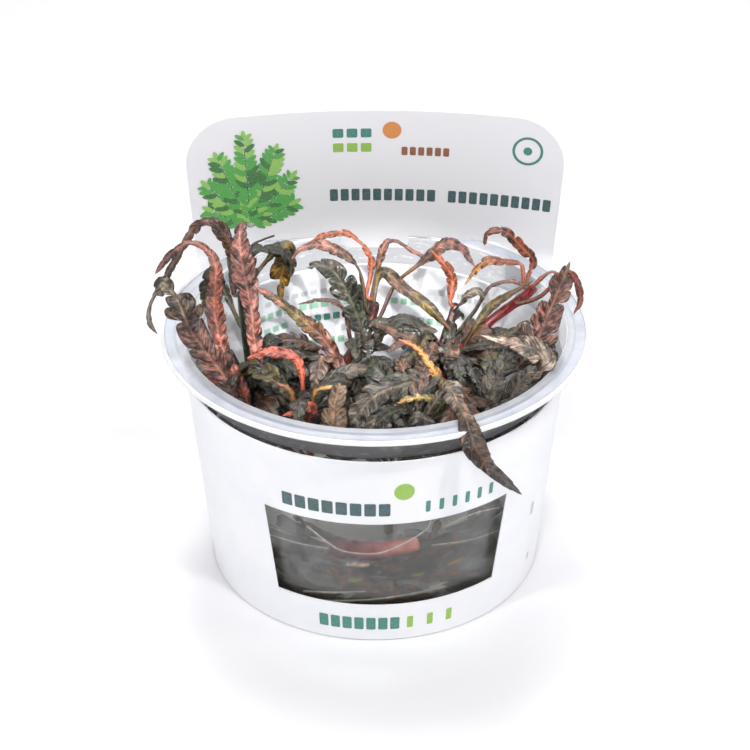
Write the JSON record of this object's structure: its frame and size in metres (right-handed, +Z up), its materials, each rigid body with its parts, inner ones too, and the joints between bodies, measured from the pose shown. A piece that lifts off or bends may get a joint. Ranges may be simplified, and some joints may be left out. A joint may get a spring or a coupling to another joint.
{
  "type": "tissue culture cup with pinnate-leaved aquarium plant",
  "caption": "Clear lidless cup in a windowed white card sleeve with a tall header tag; red and olive toothed-leaf water plants root in gel and reach over its rim.",
  "frame": {"origin": "centre of the cup's flat underside, on its axis, at the surface it stands on", "axes": "+Z up along the cup's axis, -Y the front with the window, +Y the side of the header tag, +X to the viewer's right"},
  "size_m": [0.0984, 0.095, 0.0916],
  "materials": {
    "clear_plastic": "clear, smooth moulded polypropylene",
    "card": "white coated card, satin",
    "gel": "clear, slightly cloudy nutrient gel with a wet top",
    "leaf_brown": "wet, satin leaf skin, quilted between the veins",
    "leaf_pink": "wet, satin leaf skin, quilted between the veins",
    "leaf_grey_brown": "wet, satin leaf skin, quilted between the veins",
    "leaf_dark_green": "wet, satin leaf skin, quilted between the veins",
    "leaf_olive": "wet, satin leaf skin, quilted between the veins",
    "leaf_orange": "wet, satin leaf skin, quilted between the veins",
    "leaf_coral": "wet, satin leaf skin, quilted between the veins",
    "leaf_yellow": "wet, satin leaf skin, quilted between the veins",
    "leaf_maroon": "wet, satin leaf skin, quilted between the veins",
    "leaf_grey_green": "wet, satin leaf skin, quilted between the veins",
    "leaf_pale_pink": "wet, satin leaf skin, quilted between the veins",
    "stem_green": "wet, smooth stem skin",
    "stem_maroon": "wet, smooth stem skin",
    "stem_crimson": "wet, smooth stem skin"
  },
  "bodies": {
    "root": {"cup": "clear_plastic", "sleeve": "card", "gel": "gel", "left_arching_leaf": "leaf_brown", "dark_arching_leaf": "leaf_brown", "brown_arching_leaf": "leaf_brown", "middle_filling_leaf": "leaf_brown", "left_long_pink_leaf": "leaf_pink", "left_upright_leaf": "leaf_pink", "left_grey_leaf": "leaf_grey_brown", "grey_arching_leaf": "leaf_grey_brown", "lilac_arching_leaf": "leaf_grey_brown", "right_low_leaf": "leaf_grey_brown", "overhanging_leaf": "leaf_grey_brown", "left_back_leaf": "leaf_dark_green", "left_dark_leaf": "leaf_dark_green", "left_curled_leaf": "leaf_dark_green", "glossy_dark_leaf": "leaf_dark_green", "dark_bent_leaf": "leaf_dark_green", "dark_leaf_upper": "leaf_dark_green", "dark_leaf_lower": "leaf_dark_green", "left_hanging_leaf": "leaf_olive", "lance_leaf": "leaf_olive", "olive_back_leaf": "leaf_olive", "front_gold_leaf": "leaf_olive", "right_olive_leaf": "leaf_olive", "right_under_leaf": "leaf_olive", "long_red_leaf": "leaf_orange", "orange_arching_leaf": "leaf_orange", "orange_lobed_leaf": "leaf_orange", "orange_bridge_leaf": "leaf_orange", "right_tall_leaf": "leaf_orange", "right_arching_leaf": "leaf_orange", "coral_leaf": "leaf_coral", "coral_low_leaf": "leaf_coral", "left_low_red_leaf": "leaf_coral", "right_small_red_leaf": "leaf_coral", "yellow_leaf_left": "leaf_yellow", "yellow_leaf_right": "leaf_yellow", "yellow_coral_leaf": "leaf_yellow", "front_yellow_leaf": "leaf_yellow", "small_green_leaf": "leaf_yellow", "maroon_side_leaf": "leaf_maroon", "front_grey_leaf": "leaf_grey_green", "front_broad_leaf": "leaf_grey_green", "rim_leaf_left": "leaf_grey_green", "rim_leaf_right": "leaf_grey_green", "silver_drooping_leaf": "leaf_grey_green", "silver_leaf_tall": "leaf_grey_green", "silver_leaf_low": "leaf_grey_green", "right_back_leaf": "leaf_grey_green", "right_broad_leaf": "leaf_pale_pink", "pale_lying_leaf": "leaf_pale_pink", "left_stem": "stem_green", "front_stem": "stem_green", "right_front_stem": "stem_green", "coral_stem": "stem_maroon", "middle_stem": "stem_maroon", "right_dark_stem": "stem_maroon", "right_stem": "stem_crimson"}
  },
  "joints": []
}
